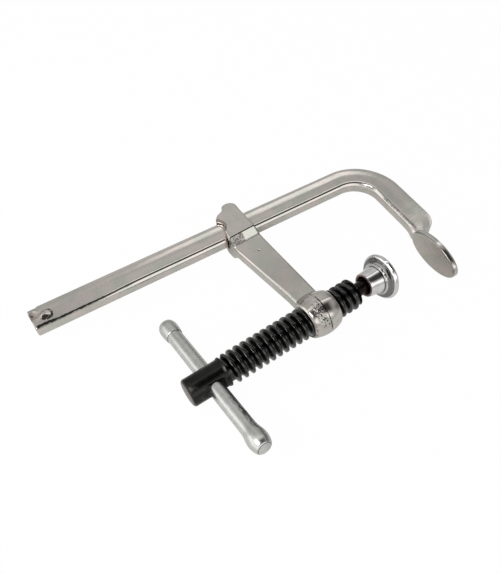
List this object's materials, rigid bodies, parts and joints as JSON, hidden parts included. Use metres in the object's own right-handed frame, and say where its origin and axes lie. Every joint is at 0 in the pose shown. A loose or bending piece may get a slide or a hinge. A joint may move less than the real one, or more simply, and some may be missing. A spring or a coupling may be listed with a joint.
{
  "type": "f-clamp",
  "caption": "Small F-clamp: flat bar bent into a fixed jaw with an oval anvil, forged sliding arm, coarse screw with a sliding tommy bar, and a swivel pad.",
  "frame": {"origin": "centre of the fixed jaw's clamping face, on the oval anvil", "axes": "+X along the rail in the clamping direction, out of the opening toward the jaw; +Y from the anvil to the rail; +Z square to the clamp's plane"},
  "size_m": [0.1686, 0.1057, 0.0224],
  "materials": {
    "plated_steel": "satin nickel plate over drop-forged steel",
    "black_oxide": "black oxide with a film of oil",
    "zinc_plate": "bright zinc plate with scuffs",
    "bright_chrome": "bright chrome plate, turned"
  },
  "bodies": {
    "frame": {"rail": "plated_steel", "rail_stop_pin": "plated_steel"},
    "arm": {"sliding_arm": "plated_steel"},
    "screw_feed": {"pad_snap_ring": "plated_steel"},
    "screw": {"spindle": "black_oxide"},
    "tommy_bar": {"handle": "zinc_plate"},
    "pad": {"swivel_pad": "bright_chrome"}
  },
  "joints": [
    {"name": "arm_slide", "type": "slide", "parent": "frame", "child": "arm", "axis": [1, 0, 0], "range_m": [-0.0762, 0.008]},
    {"name": "spindle_feed", "type": "slide", "parent": "arm", "child": "screw_feed", "axis": [0.9982, 0.0593, 0], "range_m": [-0.015, 0.012]},
    {"name": "spindle_turn", "type": "hinge", "parent": "screw_feed", "child": "screw", "pos_m": [-0.03106, 0.00186, 0], "axis": [0.9982, 0.0593, 0], "range_deg": [-1730, 1384]},
    {"name": "handle_slide", "type": "slide", "parent": "screw", "child": "tommy_bar", "axis": [0.0578, -0.973, 0.2232], "range_m": [-0.0235, 0.0225]},
    {"name": "pad_tilt", "type": "hinge", "parent": "screw_feed", "child": "pad", "pos_m": [-0.03106, 0.00186, 0], "axis": [-0.0593, 0.9982, 0], "range_deg": [-19, 5]}
  ],
  "couplings": [
    {"joint": "spindle_feed", "follows": "spindle_turn", "m_per_rad": 0.00049656}
  ]
}
